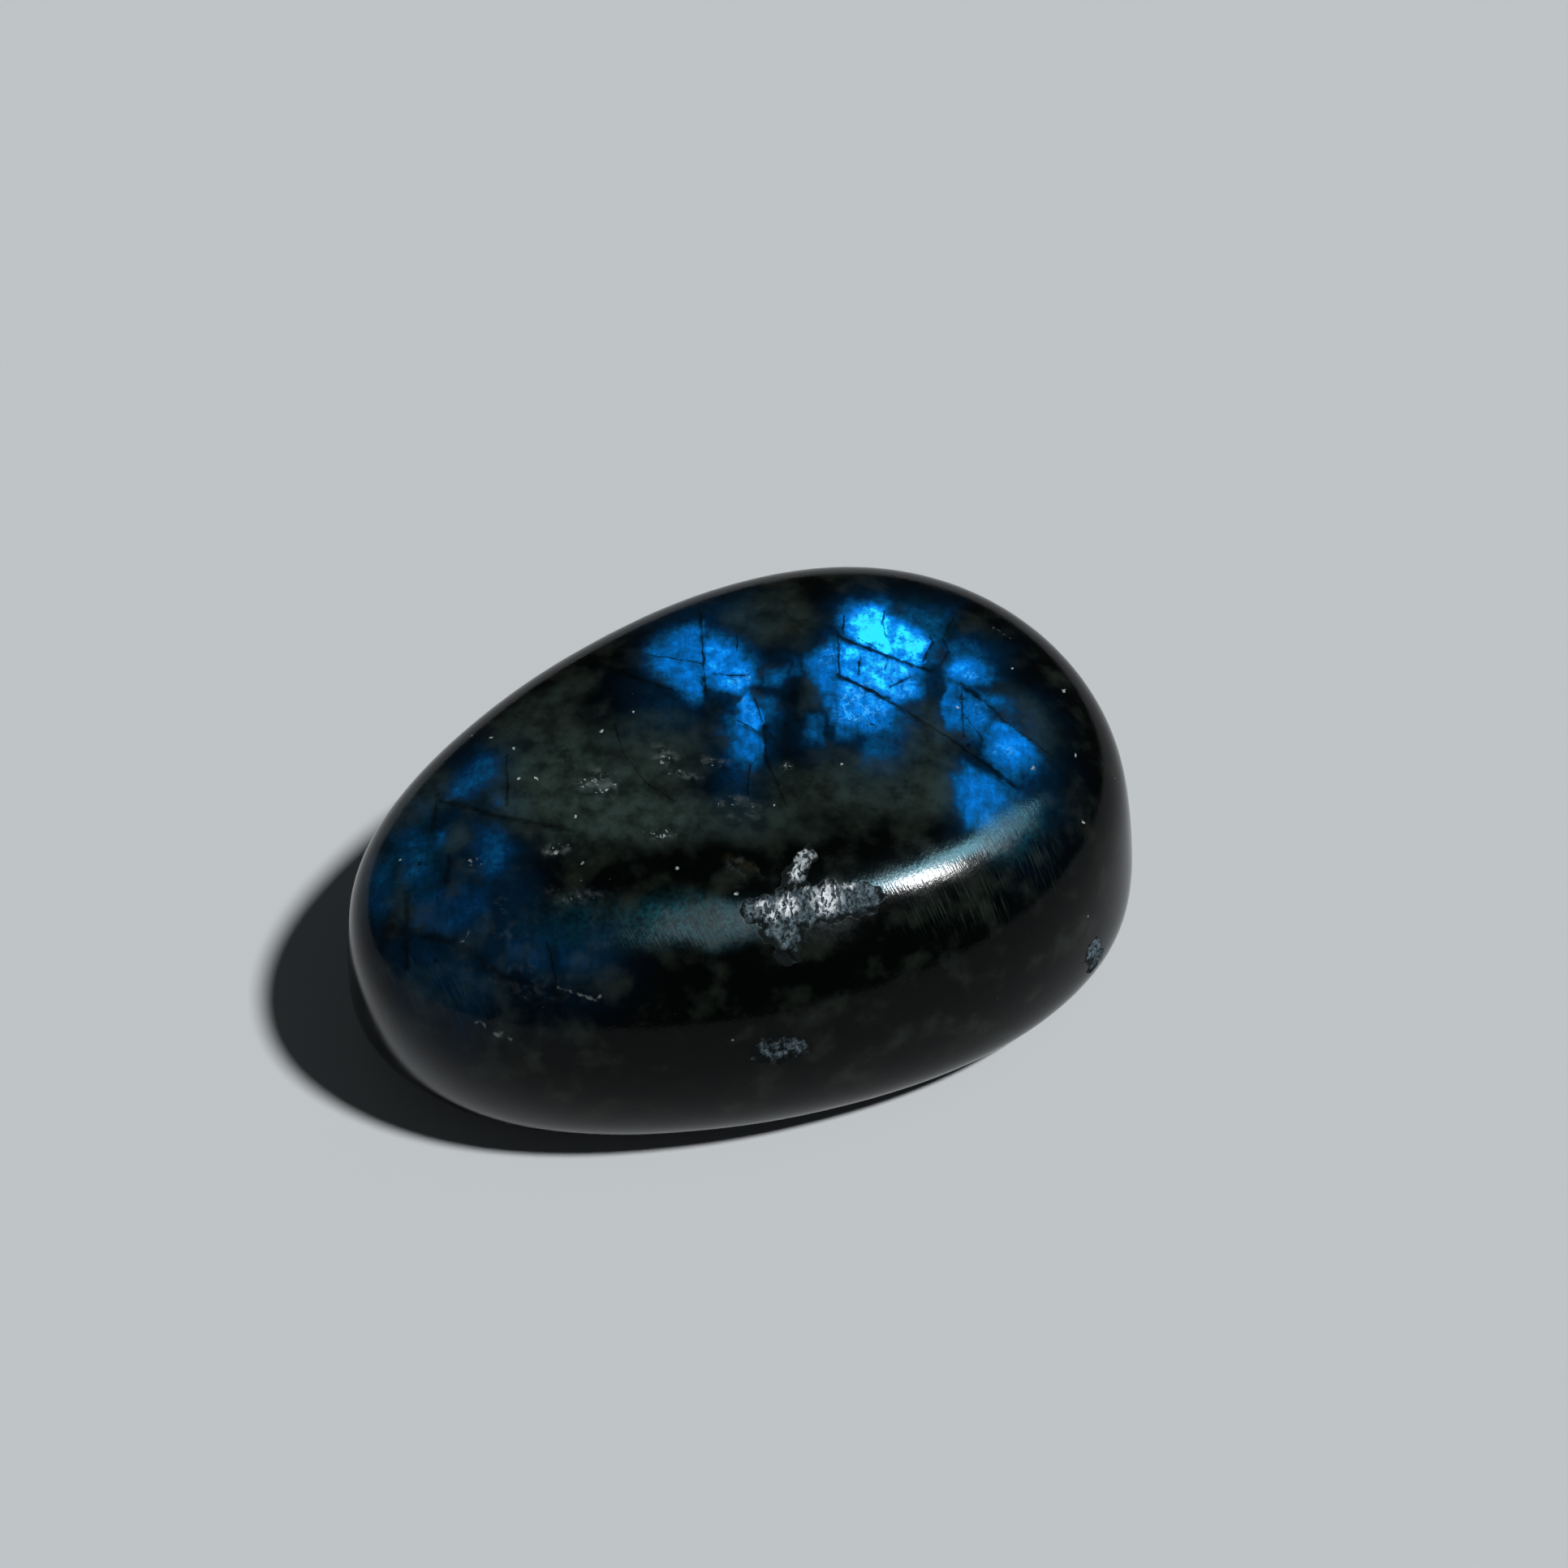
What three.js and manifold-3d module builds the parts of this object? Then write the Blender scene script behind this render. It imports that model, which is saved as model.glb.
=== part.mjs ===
// Tumbled labradorite: one polished pebble, lying on its flattest side.
// Millimetres, +Z up. +X runs along the pebble towards its broad end, and the
// origin lies on the resting face, under the middle of the pebble.
import * as THREE from "three";
import { mergeVertices } from "three/addons/utils/BufferGeometryUtils.js";
import Module from "manifold-3d";

// The worn faces that give the pebble its form. Each one faces a way round the
// pebble (degrees from +X towards +Y), leans up (+) or under (-) by some degrees,
// and lies at a reach in millimetres from the pebble's middle.
const WORN_FACES = {
  crown: { facing: -22, lean: 87, reach: 8.8 },
  underside: { facing: 0, lean: -90, reach: 9.9 },
  frontWall: { facing: -103, lean: -15, reach: 16.2 },
  frontCorner: { facing: -69, lean: 0, reach: 18.9 },
  broadEnd: { facing: -27, lean: 12, reach: 25.6 },
  backCorner: { facing: 23, lean: -7, reach: 22.7 },
  backWall: { facing: 75, lean: -2, reach: 18.8 },
  backSlope: { facing: 109, lean: 0, reach: 16.0 },
  narrowEnd: { facing: 152, lean: 20, reach: 24.8 },
  narrowCorner: { facing: -152, lean: -11, reach: 24.2 },
  frontShoulder: { facing: -97, lean: 40, reach: 12.8 },
  broadShoulder: { facing: -58, lean: 45, reach: 19.6 },
};

// How hard the worn faces meet: 2 rolls them into a ball, and a high value
// leaves sharp edges between them.
const EDGE_HARDNESS = 4.8;

// The sliver worn off below the pebble, which leaves the face it rests on.
const RESTING_WEAR = 0.4;

// Rows of small triangles along each edge of the ball that the pebble starts as.
const SURFACE_ROWS = 19;

// Break-outs in the polish, where coarse grains came away. A break-out's middle
// is a way out from the pebble's middle, and each grain lies some millimetres
// along the pebble and up its slope from there. A grain's width is its hole's
// width at the surface.
const BREAK_OUTS = {
  shoulderPit: {
    facing: -90,
    lean: 39.4,
    depth: 0.35,
    grains: [
      { along: -3.3, up: 0.55, width: 1.2 },
      { along: -2.5, up: 0.3, width: 1.8 },
      { along: -1.4, up: 0.0, width: 2.2 },
      { along: -0.2, up: -0.1, width: 2.3 },
      { along: 1.0, up: -0.3, width: 2.2 },
      { along: 2.1, up: -0.5, width: 2.0 },
      { along: 3.1, up: -0.8, width: 1.5 },
      { along: -2.5, up: -0.8, width: 1.5 },
      { along: -1.9, up: -1.5, width: 1.5 },
      { along: -2.2, up: -2.2, width: 1.1 },
      { along: -0.5, up: 1.5, width: 1.0 },
      { along: -0.1, up: 2.1, width: 1.0 },
      { along: 0.4, up: 2.5, width: 1.0 },
      { along: 0.9, up: 2.6, width: 0.7 },
    ],
  },
  frontWallPit: {
    facing: -106,
    lean: 4.5,
    depth: 0.3,
    grains: [
      { along: -0.8, up: 0.1, width: 1.4 },
      { along: 0.1, up: -0.1, width: 1.8 },
      { along: 1.0, up: -0.2, width: 1.3 },
    ],
  },
  broadEndNick: {
    facing: -35,
    lean: -10,
    depth: 0.25,
    grains: [
      { along: 0.0, up: 0.7, width: 1.5 },
      { along: 0.3, up: -0.6, width: 1.3 },
    ],
  },
};

// Each grain is turned by this much more than the one before, about an oblique
// axis, so that no two holes show the same facets.
const GRAIN_TURN = THREE.MathUtils.degToRad(67);
const GRAIN_AXIS = new THREE.Vector3(0.5, 0.3, 0.8).normalize();

// A small grain sinks by no more than this share of its width.
const DEEPEST_SHARE = 0.25;

// A grain has twenty flat facets. On average its surface lies at this share of
// the distance from its middle to its corners.
const GRAIN_MEAN_REACH = 0.9;

const STONE_COLOUR = 0x1b1f22;
const STONE_ROUGHNESS = 0.18;

const UP = new THREE.Vector3(0, 0, 1);

function outward(facing, lean) {
  const turn = THREE.MathUtils.degToRad(facing);
  const rise = THREE.MathUtils.degToRad(lean);
  return new THREE.Vector3(
    Math.cos(turn) * Math.cos(rise),
    Math.sin(turn) * Math.cos(rise),
    Math.sin(rise),
  );
}

const wornPlanes = Object.values(WORN_FACES).map(({ facing, lean, reach }) =>
  outward(facing, lean).divideScalar(reach),
);

// How far the surface lies from the pebble's middle, in a given direction.
function surfaceDistance(direction) {
  const total = wornPlanes.reduce(
    (sum, plane) => sum + Math.max(plane.dot(direction), 0) ** EDGE_HARDNESS,
    0,
  );
  return total ** (-1 / EDGE_HARDNESS);
}

function surfacePoint(direction) {
  return direction.clone().multiplyScalar(surfaceDistance(direction));
}

function surfaceNormal(point) {
  const normal = new THREE.Vector3();
  for (const plane of wornPlanes) {
    const weight = Math.max(plane.dot(point), 0) ** (EDGE_HARDNESS - 1);
    normal.addScaledVector(plane, weight);
  }
  return normal.normalize();
}

// A closed mesh with one vertex at each corner.
function weld(geometry) {
  geometry.deleteAttribute("normal");
  geometry.deleteAttribute("uv");
  return mergeVertices(geometry);
}

// The whole pebble about its own middle, flat where it rests.
function pebble() {
  const geometry = weld(new THREE.IcosahedronGeometry(1, SURFACE_ROWS));
  const corners = geometry.attributes.position;
  const corner = new THREE.Vector3();
  for (let i = 0; i < corners.count; i += 1) {
    corner.fromBufferAttribute(corners, i).normalize();
    corner.copy(surfacePoint(corner));
    corners.setXYZ(i, corner.x, corner.y, corner.z);
  }
  geometry.computeBoundingBox();
  const restingHeight = geometry.boundingBox.min.z + RESTING_WEAR;
  for (let i = 0; i < corners.count; i += 1) {
    corners.setZ(i, Math.max(corners.getZ(i), restingHeight));
  }
  return geometry;
}

// The grains of one break-out, as angular lumps that sink into the surface.
function grainLumps({ facing, lean, depth, grains }) {
  const middle = surfacePoint(outward(facing, lean));
  const normal = surfaceNormal(middle);
  const along = new THREE.Vector3().crossVectors(UP, normal).normalize();
  const upSlope = new THREE.Vector3().crossVectors(normal, along);
  return grains.map((grain, index) => {
    const direction = middle
      .clone()
      .addScaledVector(along, grain.along)
      .addScaledVector(upSlope, grain.up)
      .normalize();
    const place = surfacePoint(direction);
    const sunk = Math.min(depth, grain.width * DEEPEST_SHARE);
    const meanRadius = ((grain.width / 2) ** 2 + sunk ** 2) / (2 * sunk);
    place.addScaledVector(surfaceNormal(place), meanRadius - sunk);
    const lump = weld(new THREE.IcosahedronGeometry(meanRadius / GRAIN_MEAN_REACH, 0));
    const turn = new THREE.Quaternion().setFromAxisAngle(GRAIN_AXIS, index * GRAIN_TURN);
    return lump.applyQuaternion(turn).translate(place.x, place.y, place.z);
  });
}

const wasm = await Module();
wasm.setup();

function solidFrom(geometry) {
  return new wasm.Manifold(
    new wasm.Mesh({
      numProp: 3,
      vertProperties: new Float32Array(geometry.attributes.position.array),
      triVerts: new Uint32Array(geometry.index.array),
    }),
  );
}

function geometryFrom(solid) {
  const { vertProperties, triVerts } = solid.getMesh();
  const geometry = new THREE.BufferGeometry();
  geometry.setAttribute("position", new THREE.BufferAttribute(vertProperties, 3));
  geometry.setIndex(new THREE.BufferAttribute(triVerts, 1));
  return geometry;
}

// Cuts the break-outs and sets the pebble down over the origin.
function stoneGeometry() {
  const whole = pebble();
  whole.computeBoundingBox();
  const { min, max } = whole.boundingBox;
  let solid = solidFrom(whole);
  for (const breakOut of Object.values(BREAK_OUTS)) {
    for (const lump of grainLumps(breakOut)) {
      solid = solid.subtract(solidFrom(lump));
    }
  }
  return geometryFrom(solid).translate(-(min.x + max.x) / 2, -(min.y + max.y) / 2, -min.z);
}

const material = new THREE.MeshStandardMaterial({
  color: STONE_COLOUR,
  roughness: STONE_ROUGHNESS,
  metalness: 0,
});
const stone = new THREE.Mesh(stoneGeometry(), material);
stone.name = "stone";

const labradorite = new THREE.Group();
labradorite.add(stone);

export default labradorite;
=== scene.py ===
"""Tumbled labradorite: one polished pebble, dark with blue flashes, on a plain pale floor.

Sizes are millimetres in the part's own frame, turned into metres when the mesh is made. Markings are
placed as they lie across the stone (to the right) and away from the viewer, seen from straight above.
"""
import math
from collections import namedtuple

import bmesh
import bpy
import numpy as np
from mathutils import Matrix, Vector, noise


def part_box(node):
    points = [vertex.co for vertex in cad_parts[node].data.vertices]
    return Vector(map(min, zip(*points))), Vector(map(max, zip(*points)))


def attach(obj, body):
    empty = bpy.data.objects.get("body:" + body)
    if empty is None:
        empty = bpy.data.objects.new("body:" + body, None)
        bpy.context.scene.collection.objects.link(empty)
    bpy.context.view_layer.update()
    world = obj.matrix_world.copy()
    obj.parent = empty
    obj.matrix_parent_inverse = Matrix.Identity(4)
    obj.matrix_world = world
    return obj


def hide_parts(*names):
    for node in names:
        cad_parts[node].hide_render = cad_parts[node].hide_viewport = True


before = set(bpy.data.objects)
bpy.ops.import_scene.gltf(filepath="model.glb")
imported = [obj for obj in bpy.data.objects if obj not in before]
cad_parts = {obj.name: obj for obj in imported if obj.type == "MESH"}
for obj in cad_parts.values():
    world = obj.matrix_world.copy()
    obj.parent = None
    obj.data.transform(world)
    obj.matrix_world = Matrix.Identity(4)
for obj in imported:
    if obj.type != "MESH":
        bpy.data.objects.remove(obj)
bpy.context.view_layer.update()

MM = 0.001
UP = (0.0, 0.0, 1.0)

# The noise that moves places about starts from this seed.
NOISE_SEED = 7
noise.seed_set(NOISE_SEED)

# Ways round the stone are in degrees from +X towards +Y. The viewer stands turned from the front by this
# much, and looks down by this much.
FRONT = -90.0
VIEW_TURN = 22.0
VIEW_ELEVATION = 53.0
VIEW_DISTANCE = 208.3
VIEW_TARGET = (7.34, 10.61, 0.0)
LENS = 75.0
SENSOR = 36.0
NEAREST_SEEN = 1.0

# The floor reaches this far each way. Colours are linear red, green and blue, here and below.
FLOOR_REACH = 10000.0
FLOOR_COLOUR = (0.60, 0.63, 0.65, 1.0)
FLOOR_ROUGHNESS = 0.9

# Faint light from all round, and the key light: the way it lies round the stone and how high, its strength
# and its width in degrees.
ROOM_LIGHT = (0.035, 0.038, 0.040, 1.0)
KEY_LIGHT = (-47.8, 61.2)
KEY_STRENGTH = 3.0
KEY_WIDTH = 5.0

# Soft lights that only gleam in the polish. Each reaches from one way to another, and has a width in degrees,
# a power in watts and a colour.
Gleam = namedtuple("Gleam", "name ends width power colour")
GLEAMS = [
    Gleam("long_gleam", ((-70.0, 64.4), (-8.0, 48.0)), 7.0, 3.2, (0.34, 0.81, 1.0)),
    Gleam("bright_gleam", ((-44.6, 58.2), (-41.2, 57.7)), 7.5, 3.6, (1.0, 1.0, 1.0)),
]
GLEAM_DISTANCE = 600.0

# Worn faces of the pebble: the way each faces round it, how far it leans up, and its reach from the middle.
WORN_FACES = {
    "crown": (-22, 87, 8.8),
    "underside": (0, -90, 9.9),
    "front_wall": (-103, -15, 16.2),
    "front_corner": (-69, 0, 18.9),
    "broad_end": (-27, 12, 25.6),
    "back_corner": (23, -7, 22.7),
    "back_wall": (75, -2, 18.8),
    "back_slope": (109, 0, 16.0),
    "narrow_end": (152, 20, 24.8),
    "narrow_corner": (-152, -11, 24.2),
    "front_shoulder": (-97, 40, 12.8),
    "broad_shoulder": (-58, 45, 19.6),
}
EDGE_HARDNESS = 4.8
RESTING_WEAR = 0.4

# Slow waves that tumbling leaves in the polish.
WAVE_LENGTH = 6.5
WAVE_HEIGHT = 0.035

# Break-outs in the polish. Each grain, and each spot of painted glint, lies some millimetres along and up
# the slope from the middle.
Grain = namedtuple("Grain", "along up width")
Spot = namedtuple("Spot", "along up width strength")
BreakOut = namedtuple("BreakOut", "facing lean depth reach pale grains bright")
BREAK_OUTS = [
    # On the front shoulder, with an arm up and a tail down
    BreakOut(
        facing=-90, lean=39.4, depth=0.35, reach=5.0, pale=1.0,
        grains=[
            Grain(-3.3, 0.55, 1.2), Grain(-2.5, 0.3, 1.8), Grain(-1.4, 0.0, 2.2), Grain(-0.2, -0.1, 2.3),
            Grain(1.0, -0.3, 2.2), Grain(2.1, -0.5, 2.0), Grain(3.1, -0.8, 1.5), Grain(-2.5, -0.8, 1.5),
            Grain(-1.9, -1.5, 1.5), Grain(-2.2, -2.2, 1.1), Grain(-0.5, 1.5, 1.0), Grain(-0.1, 2.1, 1.0),
            Grain(0.4, 2.5, 1.0), Grain(0.9, 2.6, 0.7),
        ],
        # Painted glints: these spots paint splinters near white where the highlight would catch them
        bright=[
            Spot(-1.3, 0.3, 0.85, 1.0), Spot(-2.7, 0.7, 0.6, 0.7), Spot(-2.3, 0.0, 0.5, 0.7),
            Spot(-4.0, 0.5, 0.3, 1.0), Spot(0.9, -0.1, 1.2, 0.85), Spot(1.5, 0.6, 0.6, 0.85),
            Spot(2.4, 0.3, 0.5, 0.85), Spot(0.0, 1.0, 0.3, 1.0), Spot(-0.3, 2.1, 0.9, 0.7),
            Spot(0.7, 2.7, 1.0, 0.5),
        ],
    ),
    # On the front wall
    BreakOut(
        facing=-106, lean=4.5, depth=0.3, reach=2.2, pale=0.45,
        grains=[Grain(-0.8, 0.1, 1.4), Grain(0.1, -0.1, 1.8), Grain(1.0, -0.2, 1.3)],
        bright=[],
    ),
    # A scuffed nick low on the broad end. Its pale floor is painted brighter, partly as a painted reflection
    # of the floor along its edge
    BreakOut(
        facing=-35, lean=-10, depth=0.25, reach=2.0, pale=1.8,
        grains=[Grain(0.0, 0.7, 1.5), Grain(0.3, -0.6, 1.3)],
        bright=[],
    ),
]

# The mesh starts as a ball of small triangles. They are split once over the crown and within each break-out's
# reach, and once more within a share of that reach.
BALL_SUBDIVISIONS = 7
CROWN_HEIGHT = 7.0
FINEST_SHARE = 0.86

# Noise that moves places about, so that straight edges turn natural: waves a millimetre, and how far.
Sway = namedtuple("Sway", "rate size")

# A break-out's ragged edge: how far it strays, its layers of noise, each with its waves a millimetre and its
# share, and half the width of the wall around it.
RAGGED_EDGE = 0.34
RAGGED_LAYERS = [(1.4, 1.0), (4.1, 0.6)]
EDGE_WALL = 0.16

# A break-out's bowl: how far in it begins and is whole, the shares of the depth that the rim has and that the
# bowl adds, the same for the flakes' heights, and the least depth.
BOWL_EDGE = (0.0, -0.8)
RIM_DEPTH = 0.06
BOWL_DEPTH = 0.42
RIM_FLAKES = 0.1
BOWL_FLAKES = 0.9
SHALLOWEST = 0.02

# Flakes on a break-out's floor: their size, turn and bend, how much their heights differ, how far they tilt,
# and the noise that sets both.
FLAKE_LENGTH = 0.55
FLAKE_WIDTH = 0.26
FLAKE_TURN = math.radians(40)
FLAKE_BEND = Sway(2.0, 0.5)
FLOOR_STEP = 0.10
FLOOR_TILT = 0.75
STEP_RATE = 5.3
STEP_START = Vector((11.0, 4.0, 7.0))
TILT_RATE = 3.7

# A break-out's pale grains: how far in they begin and are whole, how far they are moved along and up the
# slope towards the lit side, and the heights on the slope between which they begin. This paints the pale
# floor lighter on the lit side and darker down the slope: painted light and shade. A spot of painted glint is
# whole in a share of its width.
PALE_EDGE = (0.25, -0.50)
LIT_SIDE_SHIFT = (0.25, 0.10)
PAINTED_SHADE_FOOT = (-3.0, -1.0)
SPOT_CORE = 0.3

# A triangle is flat, not smooth, where some corner of it is broken out by at least this much.
FLAT_COVER = 0.5

# Blue flashes: blocks of the stone between its cleavage planes. The flash is light given back by the stone's
# inner layers. Here it is painted as fixed colour, the same from every side, with a faint painted glow. A
# block is a run of corners, across and away, each with the softness of the edge that leaves it.
Block = namedtuple("Block", "glow corners")
FLASHES = [
    # The bright blocks
    Block(1.54, [(6.9, 9.7, 1.2), (6.5, 11.2, 1.8), (7.4, 12.5, 1.4), (8.75, 12.4, 0.25),
                 (8.85, 8.85, 0.25)]),
    Block(0.70, [(6.2, 10.0, 0.9), (6.3, 11.8, 1.4), (7.6, 12.8, 1.4), (7.8, 9.5, 0.7)]),
    Block(1.20, [(8.85, 8.85, 0.25), (8.9, 11.7, 1.4), (9.7, 11.6, 0.9), (11.6, 10.1, 0.25),
                 (10.7, 8.05, 0.25)]),
    Block(1.07, [(6.1, 9.7, 0.25), (8.8, 8.5, 0.25), (10.8, 7.8, 1.2), (10.5, 5.6, 1.4), (9.4, 5.0, 0.25),
                 (7.4, 6.3, 0.25), (6.1, 7.0, 0.25)]),
    Block(0.91, [(5.85, 6.7, 0.25), (9.8, 4.6, 1.8), (8.6, 2.9, 2.0), (6.0, 2.8, 0.7)]),
    Block(0.42, [(6.6, 4.6, 1.4), (10.3, 4.4, 1.4), (10.2, 2.4, 2.0), (8.8, 0.5, 1.8), (7.4, 0.5, 1.4)]),
    Block(0.68, [(4.0, 7.9, 0.9), (4.9, 9.2, 0.9), (5.9, 9.9, 0.25), (5.95, 5.3, 0.9), (5.1, 5.4, 0.9),
                 (4.3, 6.8, 0.9)]),
    Block(0.62, [(5.2, 5.3, 0.25), (5.8, 5.3, 0.25), (5.85, 3.3, 0.7), (5.4, 3.5, 0.7)]),
    Block(0.46, [(4.1, 4.0, 0.7), (5.0, 3.9, 0.25), (5.0, 1.8, 1.2), (4.1, 2.0, 0.7)]),
    # The broad end
    Block(0.40, [(8.9, 12.8, 1.8), (12.8, 12.8, 1.4), (12.3, 9.8, 0.9), (11.9, 7.8, 0.7),
                 (11.3, 8.0, 0.9)]),
    Block(0.46, [(12.1, 7.9, 0.9), (12.4, 10.2, 1.8), (13.6, 10.6, 2.2), (15.2, 9.6, 2.2),
                 (15.0, 7.6, 1.8), (14.2, 6.9, 0.9), (12.4, 7.2, 0.7)]),
    Block(0.92, [(12.2, 7.9, 0.9), (12.9, 9.2, 1.6), (14.4, 8.6, 1.6), (14.8, 7.4, 1.2), (14.0, 6.9, 0.7),
                 (12.4, 7.2, 0.7)]),
    Block(0.60, [(12.0, 5.0, 0.25), (12.4, 6.8, 0.7), (13.2, 6.8, 0.25), (13.15, 3.2, 0.7),
                 (12.1, 3.3, 0.25)]),
    Block(0.66, [(13.3, 6.0, 0.7), (14.0, 5.8, 0.25), (15.1, 4.9, 1.2), (14.9, 3.6, 1.8),
                 (14.0, 2.7, 1.4), (13.3, 3.0, 0.25)]),
    Block(0.50, [(13.6, 6.6, 0.9), (15.8, 6.1, 1.2), (16.4, 5.2, 1.4), (15.5, 4.7, 0.25)]),
    Block(0.80, [(14.5, 3.2, 1.2), (15.3, 4.4, 0.25), (17.4, 2.6, 1.2), (17.3, 1.2, 1.6),
                 (15.8, 0.8, 1.4), (14.4, 1.7, 0.9)]),
    Block(0.50, [(14.6, 1.7, 0.9), (17.4, 1.6, 1.4), (16.5, 0.1, 0.25), (15.5, 0.1, 0.25)]),
    Block(0.67, [(12.5, 0.2, 1.2), (13.3, 1.1, 0.7), (16.1, -0.3, 1.4), (15.9, -1.4, 1.6),
                 (14.6, -3.1, 1.2), (13.2, -3.0, 0.9), (12.7, -1.6, 0.9)]),
    Block(0.20, [(13.0, 8.0, 1.5), (18.0, 6.0, 1.5), (18.6, -1.0, 1.5), (16.0, -3.6, 1.5),
                 (14.0, 0.0, 1.5)]),
    # The back
    Block(0.69, [(-5.2, 7.2, 0.9), (-5.1, 8.8, 1.4), (-4.2, 10.0, 1.6), (-3.2, 10.8, 1.4),
                 (-2.0, 11.0, 0.25), (-1.9, 4.8, 1.2), (-2.4, 4.4, 1.4), (-4.6, 6.6, 1.2)]),
    Block(0.52, [(-1.9, 10.6, 1.2), (-0.8, 10.4, 1.4), (0.4, 9.0, 1.8), (1.2, 7.6, 1.2), (1.2, 6.2, 0.9),
                 (0.4, 5.3, 0.9), (-1.2, 5.6, 0.9), (-1.8, 6.6, 0.25)]),
    Block(0.86, [(-1.8, 9.7, 1.4), (0.0, 9.2, 1.4), (1.2, 7.4, 0.9), (1.2, 6.2, 0.7), (0.4, 5.3, 0.7),
                 (-1.2, 5.6, 0.9), (-1.8, 6.6, 0.25)]),
    Block(0.48, [(0.0, 9.8, 1.4), (1.3, 8.4, 1.2), (1.4, 6.6, 0.9), (0.0, 6.6, 0.9)]),
    Block(0.52, [(1.6, 7.0, 0.9), (3.0, 7.6, 0.7), (3.1, 6.8, 0.9), (2.5, 5.9, 0.7), (1.6, 6.1, 0.7)]),
    Block(0.36, [(3.2, 8.2, 0.9), (4.0, 8.2, 0.7), (4.0, 6.8, 0.7), (3.2, 6.8, 0.7)]),
    Block(0.86, [(0.1, 4.4, 0.25), (0.9, 5.4, 0.7), (1.3, 4.6, 0.25), (1.55, 3.3, 0.25), (1.2, 2.7, 0.25),
                 (0.1, 3.3, 0.7)]),
    Block(0.52, [(-0.5, 3.6, 1.4), (0.2, 4.8, 0.9), (0.2, 2.0, 0.9), (-0.7, 2.4, 1.4)]),
    Block(0.47, [(1.4, 5.4, 0.9), (2.3, 5.2, 1.2), (2.6, 4.0, 1.2), (2.2, 2.6, 1.2), (1.6, 3.0, 0.25)]),
    Block(0.69, [(-0.4, 2.7, 1.4), (0.1, 3.2, 0.25), (1.1, 2.6, 0.7), (1.65, 2.0, 0.25), (1.65, 0.7, 1.4),
                 (0.9, 0.0, 1.4), (0.0, 0.4, 1.4)]),
    Block(0.24, [(-1.0, -0.2, 1.6), (0.0, 0.6, 1.4), (0.9, 0.3, 0.25), (0.8, -2.2, 1.8),
                 (-0.8, -2.2, 1.6)]),
    Block(0.24, [(-5.0, 5.4, 2.2), (-2.0, 5.4, 1.8), (-2.2, 3.0, 3.3), (-4.8, 3.4, 3.3)]),
    Block(0.22, [(-4.5, 11.0, 2.6), (-3.0, 12.6, 2.6), (0.2, 13.0, 2.6), (0.6, 10.8, 2.6),
                 (-2.0, 10.0, 2.2)]),
    # The narrow end
    Block(0.47, [(-16.2, -1.5, 1.6), (-14.5, 1.0, 1.6), (-13.4, 0.4, 1.6), (-13.4, -0.9, 1.8),
                 (-14.8, -2.2, 1.2), (-16.0, -2.4, 1.2)]),
    Block(0.34, [(-13.7, -2.3, 1.2), (-12.9, -2.5, 0.7), (-12.8, -3.2, 0.7), (-13.5, -3.2, 0.7)]),
    Block(0.26, [(-18.2, -2.0, 1.4), (-17.0, -2.2, 0.7), (-16.9, -3.6, 0.9), (-17.8, -3.4, 1.4)]),
    Block(0.31, [(-19.4, -4.2, 1.8), (-18.0, -3.8, 1.4), (-17.0, -5.0, 0.9), (-17.2, -5.8, 1.4),
                 (-18.8, -5.9, 1.4)]),
    Block(0.37, [(-16.8, -4.5, 0.7), (-16.0, -4.4, 0.7), (-16.0, -5.6, 0.7), (-16.7, -5.7, 0.7)]),
    Block(0.29, [(-18.7, -5.2, 1.8), (-16.6, -5.4, 1.4), (-16.4, -8.0, 1.4), (-18.5, -8.4, 0.9)]),
    Block(0.27, [(-20.6, -5.2, 1.8), (-19.0, -5.4, 1.4), (-18.8, -8.8, 0.9), (-19.6, -9.8, 1.4),
                 (-20.6, -8.0, 1.4)]),
    Block(0.36, [(-14.5, -4.6, 1.4), (-13.3, -4.3, 1.4), (-12.3, -5.8, 1.4), (-12.4, -7.6, 1.2),
                 (-13.6, -8.0, 1.4), (-14.5, -7.0, 1.4)]),
    Block(0.24, [(-18.0, -8.2, 1.4), (-13.4, -8.0, 1.4), (-13.2, -10.8, 1.4), (-14.8, -11.4, 0.25),
                 (-17.9, -10.5, 0.7)]),
    Block(0.17, [(-19.4, -10.7, 0.7), (-15.0, -12.0, 0.7), (-12.8, -13.7, 1.4), (-14.6, -14.6, 1.8),
                 (-18.2, -13.2, 1.8)]),
    Block(0.21, [(-13.0, -10.4, 1.8), (-10.1, -10.6, 0.25), (-10.0, -13.2, 1.4), (-12.2, -13.0, 0.9)]),
    Block(0.19, [(-9.9, -10.6, 1.8), (-6.8, -10.8, 1.8), (-6.6, -12.4, 1.2), (-9.6, -13.3, 0.7)]),
    Block(0.13, [(-20.5, -3.0, 1.5), (-12.5, 0.0, 1.5), (-11.0, -8.0, 1.5), (-8.0, -12.8, 1.0),
                 (-18.0, -14.0, 1.5)]),
]

# The glow beyond a block's edges: its width and its share of the block's own. The sharpest edges end where
# the block begins, and softer ones reach into it.
HALO_WIDTH = 1.6
HALO_GLOW = 0.42
SHARPEST_EDGE = 0.25
BLOCK_SWAYS = [Sway(0.9, 0.25), Sway(3.2, 0.10)]

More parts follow.
